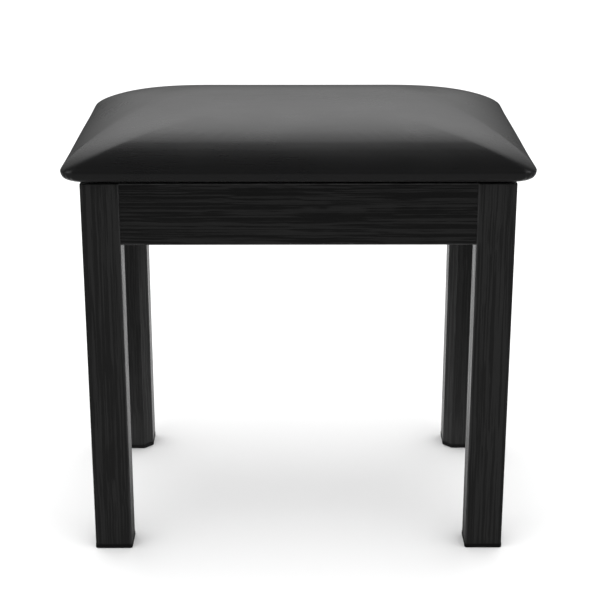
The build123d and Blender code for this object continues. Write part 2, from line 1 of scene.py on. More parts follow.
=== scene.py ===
import math
import bpy
import numpy as np
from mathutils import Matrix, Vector
from mathutils.kdtree import KDTree
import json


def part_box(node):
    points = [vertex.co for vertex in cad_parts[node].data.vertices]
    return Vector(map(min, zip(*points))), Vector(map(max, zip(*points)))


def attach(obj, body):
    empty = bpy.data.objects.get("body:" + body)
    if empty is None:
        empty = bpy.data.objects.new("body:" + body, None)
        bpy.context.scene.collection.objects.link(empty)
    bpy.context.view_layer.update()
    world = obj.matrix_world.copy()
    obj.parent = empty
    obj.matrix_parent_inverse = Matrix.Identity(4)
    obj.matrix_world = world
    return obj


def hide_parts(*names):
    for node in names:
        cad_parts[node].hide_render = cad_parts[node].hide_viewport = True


# A piano bench: black open-grained wooden frame and a padded black vinyl seat that lifts as a lid.
# Metres, in the frame's own coordinates: the front is towards -Y and the floor is at z = 0.

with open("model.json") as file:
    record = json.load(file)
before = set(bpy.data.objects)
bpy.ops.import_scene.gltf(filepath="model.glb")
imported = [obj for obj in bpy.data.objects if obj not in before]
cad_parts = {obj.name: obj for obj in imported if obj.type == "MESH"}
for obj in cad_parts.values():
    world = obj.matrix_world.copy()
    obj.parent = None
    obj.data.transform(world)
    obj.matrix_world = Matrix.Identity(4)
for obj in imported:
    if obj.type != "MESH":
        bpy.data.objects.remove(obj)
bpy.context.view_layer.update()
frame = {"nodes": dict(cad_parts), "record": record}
nodes = frame["nodes"]
SLOTS = {part["node"]: part["material_slot"] for part in frame["record"]["subparts"]}
MM = 0.001


def grey(value):
    """A neutral opaque colour."""
    return (value, value, value, 1.0)


# Camera: lens and sensor in millimetres
CAMERA_PLACE = (-0.0039, -1.707, 0.8815)
CAMERA_PITCH = math.radians(18.02)
CAMERA_YAW = math.radians(-0.2)
CAMERA_LENS = 90.5
CAMERA_SENSOR = 36
CAMERA_SHIFT_Y = -0.1
CAMERA_NEAR = 0.05
CAMERA_FAR = 50

# Light: an even dome, and a lamp overhead in watts
DOME_STRENGTH = 1.25
LAMP_PLACE = (0, 0.15, 3.2)
LAMP_SIZE = 2.2
LAMP_POWER = 30

# What gloss sees of the dome: brightnesses, and pairs that say where along an axis of the unit
# direction a change starts and ends
FRONT_GLOSS = 0.08
PANEL_FOOT_GLOSS = 0.56
PANEL_GLOSS = 2.3
PANEL_RISE = (0.26, 0.8)
PANEL_EDGE = (0.3, 0.5)
PANEL_TAPER = 0.3
PANEL_SIDE = (0.38, 0.62)
PANEL_SIDE_GLOSS = 0.3
HORIZON_RISE = (0.0, 0.17)
HORIZON_GLOSS = 0.08
WING_EDGE = (0.0, -0.25)
WING_SIDE = (0.45, 0.7)

# Floor, and in metres where the painted shade in what gloss sees of it starts and ends growing dark
FLOOR_HALF = 9
FLOOR_DARK, FLOOR_LIGHT = grey(0.91), grey(0.93)
FLOOR_MOTTLE = 3
FLOOR_ROUGHNESS = 0.9
FLOOR_SPECULAR = 0.1
FLOOR_FRONT_EDGE = (0.25, -0.25)
FLOOR_FAR_EDGE = (1.5, 3.0)
FLOOR_SIDE_EDGE = (0.35, 0.65)
# Painted shade: dark colours the floor takes in gloss rays, in front of the bench and far off
FLOOR_FRONT_GLOSS = grey(0.16)
FLOOR_FAR_GLOSS = grey(0.04)

# Texture scales are in cycles per metre and bump depths in metres
EVENLY = (1, 1, 1)
SPECKLE = (900, 900, 900)
MOTTLE_EDGE = (0.3, 0.7)

# Black wood: a pair named EDGE is the part of a noise over which a feature appears
LEG_DARK, LEG_LIGHT = grey(0.0045), grey(0.0125)
APRON_DARK, APRON_LIGHT = grey(0.0004), grey(0.0088)
# Painted highlight: a lighter colour along the wood's edges that face the bench's middle
WOOD_EDGE_HIGHLIGHT = (0.03, 0.03, 0.0305, 1.0)
WOOD_ROUGHNESS = (0.30, 0.48)
WOOD_SPECULAR = 0.35
WOOD_DEPTH = 0.18 * MM
GRAIN_ACROSS, GRAIN_ALONG = 540, 7
GRAIN_DRIFT = 1.5
DRIFT_ACROSS, DRIFT_ALONG = 20, 14
PORES_ACROSS, PORES_ALONG = 2.2 * GRAIN_ACROSS, 4 * GRAIN_ALONG
BROAD_ACROSS, BROAD_ALONG = 70, 1.5
GROOVE_EDGE = (0.42, 0.56)
PORE_EDGE = (0.54, 0.66)
PORE_IN_GROOVE = (0.2, 0.8)
PORE_ON_RIDGE = 0.3
GROOVE_SHARE = 0.86
# Painted highlight along the inner edges: its width, its share, the lower roughness there and its
# patchiness
HIGHLIGHT_WIDTH = 2.0 * MM
HIGHLIGHT_SHARE = 0.8
HIGHLIGHT_EDGE_GLOSS = 0.08
HIGHLIGHT_PATCHES = (60, 60, 60)
HIGHLIGHT_PATCH_EDGE = (0.35, 0.65)
HIGHLIGHT_PATCH_LEAST = 0.5
SEED_STEP = (1.7, 2.3, 3.1)
FIRST_APRON_SEED = 5

# Vinyl
VINYL_DARK, VINYL_LIGHT = (0.0026, 0.0026, 0.0028, 1.0), (0.0042, 0.0042, 0.0044, 1.0)
VINYL_ROUGHNESS = (0.27, 0.32)
VINYL_SPECULAR = 0.5
VINYL_SHEEN, VINYL_SHEEN_ROUGHNESS = 0.03, 0.4
VINYL_UNEVEN_EDGE = (0.35, 0.65)
CELL_SCALE, CELL_EDGE, CELL_DEPTH = 850, (0.0, 0.22), 0.02 * MM
ROLL_SCALE, ROLL_DEPTH = (30, 520, 520), 0.008 * MM
FINE_SCALE, FINE_DEPTH = 2200, 0.01 * MM
SOFT_SCALE, SOFT_SHARE = 14, 0.6

# Bare wood inside
PALE_GRAIN = (12, 240, 240)
PALE_ROUGHNESS = 0.6
PALE_DEPTH = 0.1 * MM
PLY_LAYERS = 105
PLY_WANDER = 0.4

# Non-woven cloth
CLOTH_DARK, CLOTH_LIGHT = grey(0.004), (0.03, 0.03, 0.031, 1.0)
FIBRES_ACROSS, FIBRES_ALONG = 2600, 420
WELD_SCALE = 620
WELD_WANDER = 0.15
WELD_EDGE = (0.22, 0.34)
CLOTH_ROUGHNESS = 0.9
CLOTH_SPECULAR = 0.2
CLOTH_BUMP = 0.08 * MM

# Seat shape: a curled lower edge, then one curve that rises to the crown
SEAT_LOW, SEAT_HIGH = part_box("seat_cover")
SEAT_HALF = ((SEAT_HIGH.x - SEAT_LOW.x) / 2, (SEAT_HIGH.y - SEAT_LOW.y) / 2)
SEAT_CORNER = 17 * MM
SEAT_CORNER_GROWTH = 0.6
SEAT_CORNER_LIMIT = 0.45
CURL_INSET = 8 * MM
CURL_HEIGHT = 11 * MM
WIDEST = SEAT_LOW.z + CURL_HEIGHT
CROWN_REACH = 150 * MM
CROWN_POWER = 1.35
FLAT_INSETS = (154 * MM, 158 * MM, 162 * MM)
UNDER_INSETS = (150 * MM, 110 * MM, 70 * MM, 40 * MM, 24 * MM, 14 * MM)

# Seat mesh: angles are in degrees, and the points of a ring are shared out round its outline
CURL_ANGLES = np.arange(0, 90, 7.5)
CROWN_ANGLES = np.arange(0, 91, 2.5)
CORNER_STEPS = 34
LONG_STEPS = 111
SHORT_STEPS = 61
RING_POINTS = 4 * CORNER_STEPS + 2 * LONG_STEPS + 2 * SHORT_STEPS

# Swelling of the filled seat
SWELL_PRESSURE = 4
SWELL_STIFFNESS = 25
SWELL_BENDING = 4
SWELL_QUALITY = 6
SWELL_FRAMES = 20
SWELL_STEP = 5 * MM
SWELL_CAP = 3 * MM
SWELL_ROOM = 2 * MM
SWELL_EVENING = 140
SWELL_NEIGHBOURS = 6
SWELL_NEAREST = 1 * MM
HELD_BELOW = SEAT_LOW.z + 0.6 * CURL_HEIGHT
TINY = 1e-9

# Tucks under the seat's corners, in degrees round each corner
TUCK_ANGLES = (14, 33, 52, 73)
TUCK_SPREAD = 5
TUCK_HEIGHT = 13 * MM
TUCK_DEPTH = 1.1 * MM
TUCK_START = 0.5 * SEAT_CORNER

# Dust cloth
CLOTH_LOW, CLOTH_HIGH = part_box("dust_cloth")
CLOTH_WIDTH = CLOTH_HIGH.x - CLOTH_LOW.x
CLOTH_DEPTH = CLOTH_HIGH.y - CLOTH_LOW.y
CLOTH_CELL = 3 * MM
CLOTH_SKIN = 0.3 * MM
CLOTH_SAG = 1.2 * MM
HEM = 10 * MM
HEM_STEP = 0.25 * MM
PUCKER = 0.3 * MM
PUCKER_FROM_X, PUCKER_FROM_Y = 0.8, 0.7
STAPLE_SPACING = 45 * MM


# Shader helpers


def new_material(name):
    """A node material, its tree and its Principled shader."""
    made = bpy.data.materials.new(name)
    made.use_nodes = True
    return made, made.node_tree, made.node_tree.nodes["Principled BSDF"]


def put(tree, kind, **settings):
    """A node with its properties set."""
    made = tree.nodes.new(kind)
    for name, value in settings.items():
        setattr(made, name, value)
    return made


def feed(tree, target, source):
    """Sets a socket to a constant, or links an output into it."""
    if isinstance(source, bpy.types.NodeSocket):
        tree.links.new(source, target)
    else:
        target.default_value = source


def placed(tree, scale, offset=(0, 0, 0)):
    """Object coordinates in metres, scaled along each axis."""
    coordinates = put(tree, "ShaderNodeTexCoord")
    mapping = put(tree, "ShaderNodeMapping")
    feed(tree, mapping.inputs["Vector"], coordinates.outputs["Object"])
    mapping.inputs["Scale"].default_value = scale
    mapping.inputs["Location"].default_value = offset
    return mapping.outputs["Vector"]


def axes_of(tree, vector):
    """A vector's parts, by the names X, Y and Z."""
    made = put(tree, "ShaderNodeSeparateXYZ")
    feed(tree, made.inputs["Vector"], vector)
    return made.outputs


def noise_of(tree, vector, scale=1.0, detail=2.0, roughness=0.5, distortion=0.0):
    made = put(tree, "ShaderNodeTexNoise")
    feed(tree, made.inputs["Vector"], vector)
    made.inputs["Scale"].default_value = scale
    made.inputs["Detail"].default_value = detail
    made.inputs["Roughness"].default_value = roughness
    made.inputs["Distortion"].default_value = distortion
    return made.outputs["Fac"]


def ramp(tree, value, low, high, to_low=0.0, to_high=1.0, shape="SMOOTHSTEP"):
    """A value mapped from one range to another, and held at the ends."""
    made = put(tree, "ShaderNodeMapRange", interpolation_type=shape)
    feed(tree, made.inputs["Value"], value)
    made.inputs["From Min"].default_value = low
    made.inputs["From Max"].default_value = high
    made.inputs["To Min"].default_value = to_low
    made.inputs["To Max"].default_value = to_high
    return made.outputs["Result"]


def maths(tree, operation, first, second=0.0):
    made = put(tree, "ShaderNodeMath", operation=operation)
    feed(tree, made.inputs[0], first)
    feed(tree, made.inputs[1], second)
    return made.outputs["Value"]


def mixed(tree, share, first, second, kind="RGBA"):
    """Two colours, or two plain values if the kind is FLOAT, mixed by a share."""
    made = put(tree, "ShaderNodeMix", data_type=kind)
    feed(tree, made.inputs["Factor"], share)
    feed(tree, made.inputs["A"], first)
    feed(tree, made.inputs["B"], second)
    return made.outputs["Result"]


def weighted(tree, first, second, share):
    """A fixed share of one value and the rest of another."""
    return maths(
        tree, "ADD", maths(tree, "MULTIPLY", first, share), maths(tree, "MULTIPLY", second, 1 - share)
    )


def bumped(tree, shader, height, distance, strength=1.0, under=None):
    """Bump in metres, on top of an earlier bump if one is given."""
    made = put(tree, "ShaderNodeBump")
    feed(tree, made.inputs["Height"], height)
    made.inputs["Distance"].default_value = distance
    made.inputs["Strength"].default_value = strength
    if under is not None:
        feed(tree, made.inputs["Normal"], under)
    feed(tree, shader.inputs["Normal"], made.outputs["Normal"])
    return made.outputs["Normal"]


# Materials


def painted_highlight_edges(tree, node, grain_axis):
    """Near 1 along a bar's long edges on the side that faces the bench's middle, where a lighter painted
    highlight goes.
    """
    low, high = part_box(node)
    parts = axes_of(tree, placed(tree, EVENLY))
    nearness = []
    for index, axis in enumerate("XYZ"):
        if axis != grain_axis:
            middle, half = (low[index] + high[index]) / 2, (high[index] - low[index]) / 2
            out = maths(tree, "SUBTRACT", parts[axis], middle)
            if axis == "X":
                out = maths(tree, "MULTIPLY", out, -math.copysign(1, middle))
            else:
                out = maths(tree, "ABSOLUTE", out)
            nearness.append(ramp(tree, out, half - HIGHLIGHT_WIDTH, half - HIGHLIGHT_WIDTH / 2))
    patches = noise_of(tree, placed(tree, HIGHLIGHT_PATCHES), detail=3, roughness=0.6)
    patchy = ramp(tree, patches, *HIGHLIGHT_PATCH_EDGE, to_low=HIGHLIGHT_PATCH_LEAST)
    return maths(tree, "MULTIPLY", maths(tree, "MULTIPLY", *nearness), patchy)


def grain_shade(tree, grain_axis, seed):
    """Wandering grooves along one axis, broad bands under them and short pores in them."""
    along = "XYZ".index(grain_axis)
    offset = tuple(seed * step for step in SEED_STEP)

    def stretched(across, lengthwise):
        scale = [across] * 3
        scale[along] = lengthwise
        return placed(tree, tuple(scale), offset)

    drift = noise_of(tree, stretched(DRIFT_ACROSS, DRIFT_ALONG))
    shift = put(tree, "ShaderNodeVectorMath", operation="SCALE")
    shift.inputs[0].default_value = (GRAIN_DRIFT,) * 3
    feed(tree, shift.inputs["Scale"], drift)
    lines_at = put(tree, "ShaderNodeVectorMath", operation="ADD")
    feed(tree, lines_at.inputs[0], stretched(GRAIN_ACROSS, GRAIN_ALONG))
    feed(tree, lines_at.inputs[1], shift.outputs["Vector"])
    grooves = ramp(tree, noise_of(tree, lines_at.outputs["Vector"]), *GROOVE_EDGE)
    pores = noise_of(tree, stretched(PORES_ACROSS, PORES_ALONG), roughness=0.6)
    depth = ramp(tree, grooves, *PORE_IN_GROOVE, to_low=PORE_ON_RIDGE)
    pits = maths(tree, "MULTIPLY", ramp(tree, pores, *PORE_EDGE), depth)
    broad = noise_of(tree, stretched(BROAD_ACROSS, BROAD_ALONG))
    return maths(tree, "MAXIMUM", weighted(tree, grooves, broad, GROOVE_SHARE), pits)


def black_wood(node, grain_axis, seed, dark, light):
    """Satin black paint over open-pored grain that runs along one axis, different on every piece, with a
    painted highlight along the edges that face the bench's middle.
    """
    made, tree, shader = new_material(f"black_wood_{node}")
    shade = grain_shade(tree, grain_axis, seed)
    # Mask of the painted highlight along the inner edges
    edge_highlight = painted_highlight_edges(tree, node, grain_axis)
    colour = mixed(tree, shade, light, dark)
    highlight_share = maths(tree, "MULTIPLY", edge_highlight, HIGHLIGHT_SHARE)
    # Painted highlight: the colour turns lighter along the inner edges
    feed(tree, shader.inputs["Base Color"], mixed(tree, highlight_share, colour, WOOD_EDGE_HIGHLIGHT))
    dullness = ramp(tree, shade, 0, 1, *WOOD_ROUGHNESS)
    shine = maths(tree, "MULTIPLY", edge_highlight, HIGHLIGHT_EDGE_GLOSS)
    feed(tree, shader.inputs["Roughness"], maths(tree, "SUBTRACT", dullness, shine))
    shader.inputs["Specular IOR Level"].default_value = WOOD_SPECULAR
    bumped(tree, shader, maths(tree, "SUBTRACT", 1.0, shade), WOOD_DEPTH, 0.8)
    return made


def black_vinyl(name):
    """Smooth vinyl with a fine pressed grain, faint lines along the roll and a soft sheen."""
    made, tree, shader = new_material(name)
    everywhere = placed(tree, EVENLY)
    cells = put(tree, "ShaderNodeTexVoronoi", feature="DISTANCE_TO_EDGE")
    feed(tree, cells.inputs["Vector"], everywhere)
    cells.inputs["Scale"].default_value = CELL_SCALE
    grain = ramp(tree, cells.outputs["Distance"], *CELL_EDGE)
    roll = noise_of(tree, placed(tree, ROLL_SCALE))
    fine = noise_of(tree, everywhere, FINE_SCALE)
    soft = noise_of(tree, everywhere, SOFT_SCALE, detail=3)
    feed(tree, shader.inputs["Base Color"], mixed(tree, soft, VINYL_DARK, VINYL_LIGHT))
    uneven = weighted(tree, soft, roll, SOFT_SHARE)
    dullness = ramp(tree, uneven, *VINYL_UNEVEN_EDGE, *VINYL_ROUGHNESS)
    feed(tree, shader.inputs["Roughness"], dullness)
    shader.inputs["Specular IOR Level"].default_value = VINYL_SPECULAR
    shader.inputs["Sheen Weight"].default_value = VINYL_SHEEN
    shader.inputs["Sheen Roughness"].default_value = VINYL_SHEEN_ROUGHNESS
    pressed = bumped(tree, shader, grain, CELL_DEPTH, 0.5)
    rolled = bumped(tree, shader, roll, ROLL_DEPTH, 0.6, pressed)
    bumped(tree, shader, fine, FINE_DEPTH, 0.4, rolled)
    return made


def plain_surface(name, dark, light, scale, roughness, depth, metallic=0.0, specular=0.5):
    """A surface with a mottled colour, uneven gloss and a fine texture."""
    made, tree, shader = new_material(name)
    mottle = noise_of(tree, placed(tree, scale), detail=4, roughness=0.6)
    feed(tree, shader.inputs["Base Color"], mixed(tree, mottle, dark, light))
    feed(tree, shader.inputs["Roughness"], ramp(tree, mottle, *MOTTLE_EDGE, *roughness))
    shader.inputs["Metallic"].default_value = metallic
    shader.inputs["Specular IOR Level"].default_value = specular
    bumped(tree, shader, mottle, depth)
    return made


def pale_wood(name, dark, light, layers_axis=None):
    """Unpainted wood; plywood shows its layers across one axis."""
    made, tree, shader = new_material(name)
    shade = noise_of(tree, placed(tree, PALE_GRAIN), detail=3, roughness=0.6)
    if layers_axis:
        bands = put(tree, "ShaderNodeTexWave", bands_direction=layers_axis)
        feed(tree, bands.inputs["Vector"], placed(tree, EVENLY))
        bands.inputs["Scale"].default_value = PLY_LAYERS
        bands.inputs["Distortion"].default_value = PLY_WANDER
        shade = maths(tree, "MULTIPLY", shade, bands.outputs["Fac"])
    feed(tree, shader.inputs["Base Color"], mixed(tree, shade, dark, light))
    shader.inputs["Roughness"].default_value = PALE_ROUGHNESS
    bumped(tree, shader, shade, PALE_DEPTH)
    return made


def non_woven(name):
    """Thin black spun cloth: short fibres pressed at random, with a grid of weld points."""
    made, tree, shader = new_material(name)
    crossing = [
        noise_of(tree, placed(tree, (*scale, 1)), detail=3, roughness=0.6, distortion=0.6)
        for scale in ((FIBRES_ACROSS, FIBRES_ALONG), (FIBRES_ALONG, FIBRES_ACROSS))
    ]
    dots = put(tree, "ShaderNodeTexVoronoi", feature="F1")
    feed(tree, dots.inputs["Vector"], placed(tree, (1, 1, 0)))
    dots.inputs["Scale"].default_value = WELD_SCALE
    dots.inputs["Randomness"].default_value = WELD_WANDER
    welds = ramp(tree, dots.outputs["Distance"], *WELD_EDGE)
    weave = maths(tree, "MULTIPLY", maths(tree, "MAXIMUM", *crossing), welds)
    feed(tree, shader.inputs["Base Color"], mixed(tree, weave, CLOTH_DARK, CLOTH_LIGHT))
    shader.inputs["Roughness"].default_value = CLOTH_ROUGHNESS
    shader.inputs["Specular IOR Level"].default_value = CLOTH_SPECULAR
    bumped(tree, shader, weave, CLOTH_BUMP)
    return made


def floor_material():
    """Pale floor; what gloss sees of it is bright only just behind the bench, and elsewhere its colour
    is darkened by painted shade.
    """
    made, tree, shader = new_material("pale_floor")
    mottle = noise_of(tree, placed(tree, (FLOOR_MOTTLE,) * 3))
    pale = mixed(tree, mottle, FLOOR_DARK, FLOOR_LIGHT)
    parts = axes_of(tree, placed(tree, EVENLY))
    front = ramp(tree, parts["Y"], *FLOOR_FRONT_EDGE)
    far = ramp(tree, parts["Y"], *FLOOR_FAR_EDGE)
    aside = ramp(tree, maths(tree, "ABSOLUTE", parts["X"]), *FLOOR_SIDE_EDGE)
    unlit = maths(tree, "MAXIMUM", maths(tree, "MAXIMUM", front, far), aside)
    dim = mixed(tree, far, FLOOR_FRONT_GLOSS, FLOOR_FAR_GLOSS)
    # Painted shade: in gloss rays the floor's colour is dark outside the patch just behind the bench
    rays = put(tree, "ShaderNodeLightPath")
    share = maths(tree, "MULTIPLY", unlit, rays.outputs["Is Glossy Ray"])
    feed(tree, shader.inputs["Base Color"], mixed(tree, share, pale, dim))
    shader.inputs["Roughness"].default_value = FLOOR_ROUGHNESS
    shader.inputs["Specular IOR Level"].default_value = FLOOR_SPECULAR
    return made


def paint(names, material):
    """Gives CAD nodes a material."""
    for name in names:
        mesh = nodes[name].data
        mesh.materials.clear()
        mesh.materials.append(material)


def paint_slot(slot, material):
    """Gives a material to every CAD node that the record puts in a slot."""
    paint([name for name in nodes if SLOTS[name] == slot], material)


def paint_wood(corners):
    """Legs and aprons, each with a grain of its own."""
    for seed, corner in enumerate(corners):
        paint([f"leg_{corner}"], black_wood(f"leg_{corner}", "Z", seed, LEG_DARK, LEG_LIGHT))
    for seed, side in enumerate(("front", "rear", "left", "right"), start=FIRST_APRON_SEED):
        axis = "X" if side in ("front", "rear") else "Y"
        paint([f"apron_{side}"], black_wood(f"apron_{side}", axis, seed, APRON_DARK, APRON_LIGHT))


def paint_frame():
    """Every CAD node that stays in view gets its own finish."""
    corners = [f"{end}_{side}" for end in ("front", "rear") for side in ("left", "right")]
    paint_wood(corners)
    glide = plain_surface(
        "foot_plastic", grey(0.0015), grey(0.004), SPECKLE, (0.5, 0.62), 0.04 * MM, specular=0.2
    )
    paint([f"foot_glide_{corner}" for corner in corners], glide)
    rubber = plain_surface("rubber", grey(0.0015), grey(0.02), SPECKLE, (0.7, 0.85), 0.06 * MM)
    paint([f"rubber_bumper_{corner}" for corner in corners], rubber)
    zinc_dark, zinc_light = (0.42, 0.42, 0.40, 1.0), (0.66, 0.66, 0.63, 1.0)
    zinc = plain_surface(
        "zinc_steel", zinc_dark, zinc_light, (160, 160, 900), (0.28, 0.5), 0.03 * MM, metallic=0.55
    )
    paint_slot("zinc_steel", zinc)
    paint([f"corner_bracket_{corner}" for corner in corners], zinc)
    wire = plain_surface(
        "staple_wire", grey(0.10), grey(0.22), SPECKLE, (0.35, 0.55), 0.02 * MM, metallic=0.55
    )
    paint(["cover_staples", "cloth_staples"], wire)
    plated = plain_surface(
        "hinge_steel", grey(0.03), grey(0.09), (260, 260, 260), (0.3, 0.5), 0.03 * MM, metallic=1.0
    )
    paint_slot("hinge_steel", plated)
    board_dark, board_light = (0.012, 0.010, 0.009, 1.0), (0.03, 0.026, 0.023, 1.0)
    board = plain_surface(
        "hardboard", board_dark, board_light, (700, 700, 700), (0.6, 0.8), 0.08 * MM
    )
    paint(["compartment_floor"], board)
    dowel_wood = pale_wood("dowel_wood", (0.42, 0.27, 0.14, 1.0), (0.66, 0.48, 0.3, 1.0))
    paint(["dowels"], dowel_wood)
    plywood = pale_wood("plywood", (0.36, 0.24, 0.12, 1.0), (0.62, 0.46, 0.28, 1.0), "Z")
    paint(["seat_board"], plywood)


# Seat


def rounded_rectangle(inset):
    """Points round the seat's outline, drawn in by an inset, with corners that grow rounder inwards."""
    half_x, half_y = SEAT_HALF[0] - inset, SEAT_HALF[1] - inset
    radius = min(SEAT_CORNER + SEAT_CORNER_GROWTH * inset, SEAT_CORNER_LIMIT * 2 * half_y)
    signs = [(1, 1), (-1, 1), (-1, -1), (1, -1)]
    centres = [Vector((sx * (half_x - radius), sy * (half_y - radius))) for sx, sy in signs]
    points = []
    turn = 0.0
    for index, centre in enumerate(centres):
        for step in range(CORNER_STEPS):
            angle = turn + math.pi / 2 * step / CORNER_STEPS
            points.append(centre + radius * Vector((math.cos(angle), math.sin(angle))))
        turn += math.pi / 2
        edge = radius * Vector((math.cos(turn), math.sin(turn)))
        following = centres[(index + 1) % len(centres)]
        steps = LONG_STEPS if index % 2 == 0 else SHORT_STEPS
        for step in range(steps):
            points.append(centre.lerp(following, step / steps) + edge)
    return points


def seat_stations():
    """(inset, height) rings: across the underside, round the curled edge, then over the crown."""
    rise = SEAT_HIGH.z - WIDEST - SWELL_ROOM
    stations = [(inset, SEAT_LOW.z) for inset in UNDER_INSETS]
    for angle in np.radians(CURL_ANGLES):
        stations.append((CURL_INSET * (1 - math.sin(angle)), WIDEST - CURL_HEIGHT * math.cos(angle)))
    for angle in np.radians(CROWN_ANGLES):
        inset = CROWN_REACH * (1 - math.cos(angle))
        stations.append((inset, WIDEST + rise * math.sin(angle) ** CROWN_POWER))
    return stations + [(inset, WIDEST + rise) for inset in FLAT_INSETS]


def mesh_object(name, points, faces):
    mesh = bpy.data.meshes.new(name)
    mesh.from_pydata([tuple(p) for p in points], [], faces)
    mesh.update()
    made = bpy.data.objects.new(name, mesh)
    bpy.context.scene.collection.objects.link(made)
    return made


def finish_piece(item, material):
    """Smooth shading and one material."""
    for polygon in item.data.polygons:
        polygon.use_smooth = True
    item.data.materials.append(material)


def ring_faces(rings):
    """Quads between each ring and the next."""
    faces = []
    for start in range(0, (rings - 1) * RING_POINTS, RING_POINTS):
        for i in range(RING_POINTS):
            j = (i + 1) % RING_POINTS
            faces.append((start + i, start + j, start + RING_POINTS + j, start + RING_POINTS + i))
    return faces


def seat_shell():
    """The seat's closed outside, as rings that close on a point above and below."""
    stations = seat_stations()
    points = [(p.x, p.y, z) for inset, z in stations for p in rounded_rectangle(inset)]
    faces = ring_faces(len(stations))
    top_ring = len(points) - RING_POINTS
    top, bottom = len(points), len(points) + 1
    points += [(0, 0, stations[-1][1]), (0, 0, stations[0][1])]
    for i in range(RING_POINTS):
        j = (i + 1) % RING_POINTS
        faces.append((top_ring + i, top_ring + j, top))
        faces.append((j, i, bottom))
    return mesh_object("seat_cushion", points, faces)


def apply_modifiers(item):
    """Replaces an object's mesh with its mesh as its modifiers leave it."""
    graph = bpy.context.evaluated_depsgraph_get()
    final = bpy.data.meshes.new_from_object(item.evaluated_get(graph))
    item.modifiers.clear()
    old = item.data
    item.data = final
    bpy.data.meshes.remove(old)


def coordinates_of(mesh):
    flat = np.zeros(len(mesh.vertices) * 3)
    mesh.vertices.foreach_get("co", flat)
    return flat.reshape(-1, 3)


def move_points(mesh, points):
    mesh.vertices.foreach_set("co", points.ravel())
    mesh.update()


def remesh(item, size):
    modifier = item.modifiers.new("remesh", "REMESH")
    modifier.mode = "VOXEL"
    modifier.voxel_size = size
    apply_modifiers(item)


def evened(mesh, values, rounds):
    """Averages a value with its neighbours' along the mesh's edges, round after round."""
    ends = np.zeros(len(mesh.edges) * 2, dtype=int)
    mesh.edges.foreach_get("vertices", ends)
    first, second = ends.reshape(-1, 2).T
    count = len(mesh.vertices)
    degree = np.bincount(first, minlength=count) + np.bincount(second, minlength=count)
    for _ in range(rounds):
        columns = []
        for column in values.T:
            total = np.bincount(first, column[second], count) + np.bincount(second, column[first], count)
            columns.append(0.5 * column + 0.5 * total / degree)
        values = np.stack(columns, axis=1)
    return values


def add_cloth(item, held):
    """Cloth under pressure from inside, held still where its group of points says."""
    cloth = item.modifiers.new("cloth", "CLOTH")
    settings = cloth.settings
    settings.use_pressure = True
    settings.uniform_pressure_force = SWELL_PRESSURE
    settings.effector_weights.gravity = 0
    settings.vertex_group_mass = held.name
    settings.quality = SWELL_QUALITY
    settings.tension_stiffness = SWELL_STIFFNESS
    settings.compression_stiffness = SWELL_STIFFNESS
    settings.bending_stiffness = SWELL_BENDING
    cloth.collision_settings.use_collision = False
    cloth.point_cache.frame_start = 1
    cloth.point_cache.frame_end = SWELL_FRAMES


def swelling(shell):
    """How a remeshed copy moves when it swells as filled vinyl does, held along its underside."""
    copy = bpy.data.objects.new("swelling", shell.data.copy())
    bpy.context.scene.collection.objects.link(copy)
    remesh(copy, SWELL_STEP)
    rest = coordinates_of(copy.data)
    held = copy.vertex_groups.new(name="held")
    held.add([index for index, point in enumerate(rest) if point[2] < HELD_BELOW], 1.0, "REPLACE")
    add_cloth(copy, held)
    scene = bpy.context.scene
    for step in range(1, SWELL_FRAMES + 1):
        scene.frame_set(step)
    apply_modifiers(copy)
    scene.frame_set(1)
    moved = coordinates_of(copy.data) - rest
    length = np.linalg.norm(moved, axis=1, keepdims=True)
    moved *= np.minimum(1, SWELL_CAP / np.maximum(length, TINY))
    moved = evened(copy.data, moved, SWELL_EVENING)
    bpy.data.meshes.remove(copy.data)
    return rest, moved


def inflate(shell):
    """Moves the shell's own points as the points near them moved in the swelling copy."""
    rest, moved = swelling(shell)
    tree = KDTree(len(rest))
    for index, point in enumerate(rest):
        tree.insert(point, index)
    tree.balance()
    points = coordinates_of(shell.data)
    for index, point in enumerate(points):
        found = tree.find_n(point, SWELL_NEIGHBOURS)
        weights = np.array([1 / (distance + SWELL_NEAREST) for _, _, distance in found])
        steps = moved[[neighbour for _, neighbour, _ in found]]
        points[index] = point + weights @ steps / weights.sum()
    move_points(shell.data, points)


def fit_to_seat(item):
    """Brings the swollen form back to the seat's own size, and flattens its underside."""
    points = coordinates_of(item.data)
    points[:, :2] *= np.array(SEAT_HALF) / np.abs(points[:, :2]).max(axis=0)
    above = points[:, 2] > WIDEST
    share = (SEAT_HIGH.z - WIDEST) / (points[:, 2].max() - WIDEST)
    points[above, 2] = WIDEST + (points[above, 2] - WIDEST) * share
    points[:, 2] = np.maximum(points[:, 2], SEAT_LOW.z)
    move_points(item.data, points)


def tuck_corners(item):
    """Presses the short folds of gathered vinyl into the curl under each corner."""
    points = coordinates_of(item.data)
    out = np.abs(points[:, :2]) - (np.array(SEAT_HALF) - SEAT_CORNER)
    reach = np.linalg.norm(np.maximum(out, 0), axis=1)
    at_corner = (out > 0).all(axis=1) & (reach > TUCK_START)
    angle = np.degrees(np.arctan2(out[:, 1], out[:, 0]))
    lowness = np.clip((SEAT_LOW.z + TUCK_HEIGHT - points[:, 2]) / TUCK_HEIGHT, 0, 1)
    press = sum(np.exp(-(((angle - fold) / TUCK_SPREAD) ** 2)) for fold in TUCK_ANGLES)
    depth = np.where(at_corner, TUCK_DEPTH * press * lowness, 0)
    outwards = np.sign(points[:, :2]) * np.maximum(out, 0) / np.maximum(reach, TINY)[:, None]
    points[:, :2] -= outwards * depth[:, None]
    move_points(item.data, points)


